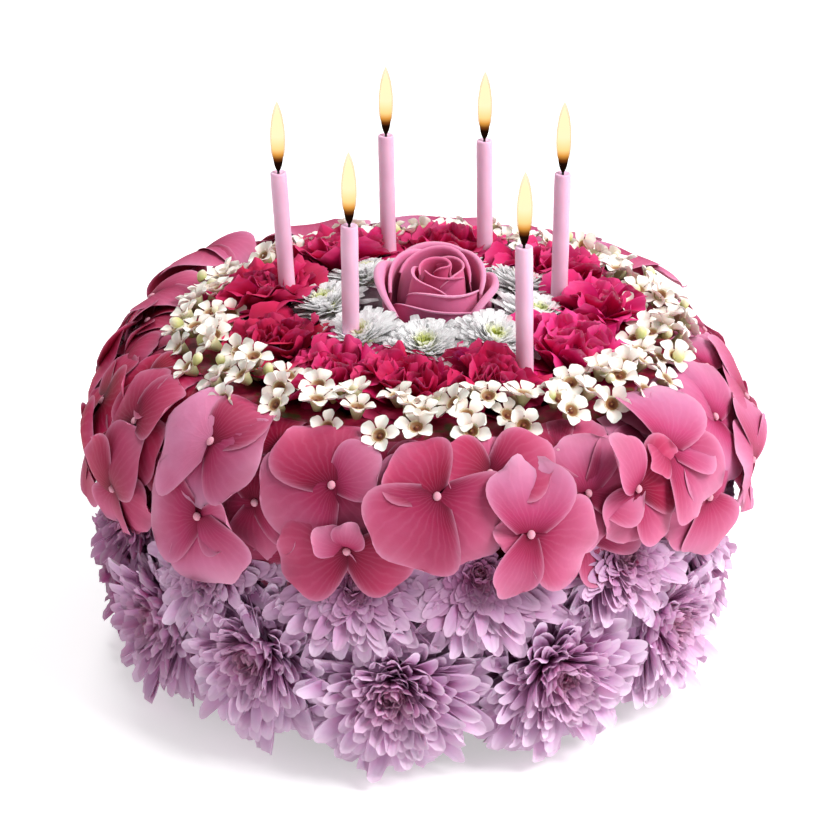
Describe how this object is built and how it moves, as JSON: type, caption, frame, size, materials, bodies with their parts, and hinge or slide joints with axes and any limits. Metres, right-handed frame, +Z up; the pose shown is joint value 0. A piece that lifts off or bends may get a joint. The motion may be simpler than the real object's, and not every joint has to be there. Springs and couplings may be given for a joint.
{
  "type": "floral birthday cake with candles",
  "caption": "Fresh flowers arranged as a round birthday cake: a lavender chrysanthemum band, a pink hydrangea collar, rings of small blooms, a rose in the middle and thin lit candles.",
  "frame": {"origin": "centre of the flat underside, on the surface that the cake stands on", "axes": "+Z up through the rose, -Y towards the front, +X to the right of someone who faces the front"},
  "size_m": [0.2889, 0.2883, 0.2306],
  "materials": {
    "foam": "dark wet floral foam, seen only in the gaps between blooms",
    "mum_petals": "matte lavender petals, paler at the tips and deep purple where they start",
    "hydrangea_petals": "smooth matte pink petals with fine branching veins and paler edges",
    "waxflower_petals": "waxy cream petals round dark red cups",
    "carnation_petals": "velvety magenta, deep red in the folds",
    "daisy_petals": "matte white petals round a yellow-green middle",
    "rose_petals": "velvety mauve pink, paler along the rolled edges",
    "candle_wax": "smooth satin pink wax, with a dark burnt wick",
    "candle_flame": "glowing pale yellow flame with an orange foot"
  },
  "bodies": {
    "root": {"foam_core": "foam", "mum_lower_01": "mum_petals", "mum_lower_02": "mum_petals", "mum_lower_03": "mum_petals", "mum_lower_04": "mum_petals", "mum_lower_05": "mum_petals", "mum_lower_06": "mum_petals", "mum_lower_07": "mum_petals", "mum_lower_08": "mum_petals", "mum_lower_09": "mum_petals", "mum_lower_10": "mum_petals", "mum_lower_11": "mum_petals", "mum_lower_12": "mum_petals", "mum_upper_01": "mum_petals", "mum_upper_02": "mum_petals", "mum_upper_03": "mum_petals", "mum_upper_04": "mum_petals", "mum_upper_05": "mum_petals", "mum_upper_06": "mum_petals", "mum_upper_07": "mum_petals", "mum_upper_08": "mum_petals", "mum_upper_09": "mum_petals", "mum_upper_10": "mum_petals", "mum_upper_11": "mum_petals", "hydrangea_01": "hydrangea_petals", "hydrangea_02": "hydrangea_petals", "hydrangea_03": "hydrangea_petals", "hydrangea_04": "hydrangea_petals", "waxflower_ring": "waxflower_petals", "carnation_01": "carnation_petals", "carnation_02": "carnation_petals", "carnation_03": "carnation_petals", "carnation_04": "carnation_petals", "carnation_05": "carnation_petals", "carnation_06": "carnation_petals", "carnation_07": "carnation_petals", "carnation_08": "carnation_petals", "carnation_09": "carnation_petals", "carnation_10": "carnation_petals", "daisy_01": "daisy_petals", "daisy_02": "daisy_petals", "daisy_03": "daisy_petals", "daisy_04": "daisy_petals", "daisy_05": "daisy_petals", "daisy_06": "daisy_petals", "daisy_07": "daisy_petals", "daisy_08": "daisy_petals", "rose": "rose_petals", "candle_01": "candle_wax", "candle_02": "candle_wax", "candle_03": "candle_wax", "candle_04": "candle_wax", "candle_05": "candle_wax", "candle_06": "candle_wax", "flame_01": "candle_flame", "flame_02": "candle_flame", "flame_03": "candle_flame", "flame_04": "candle_flame", "flame_05": "candle_flame", "flame_06": "candle_flame"}
  },
  "joints": []
}
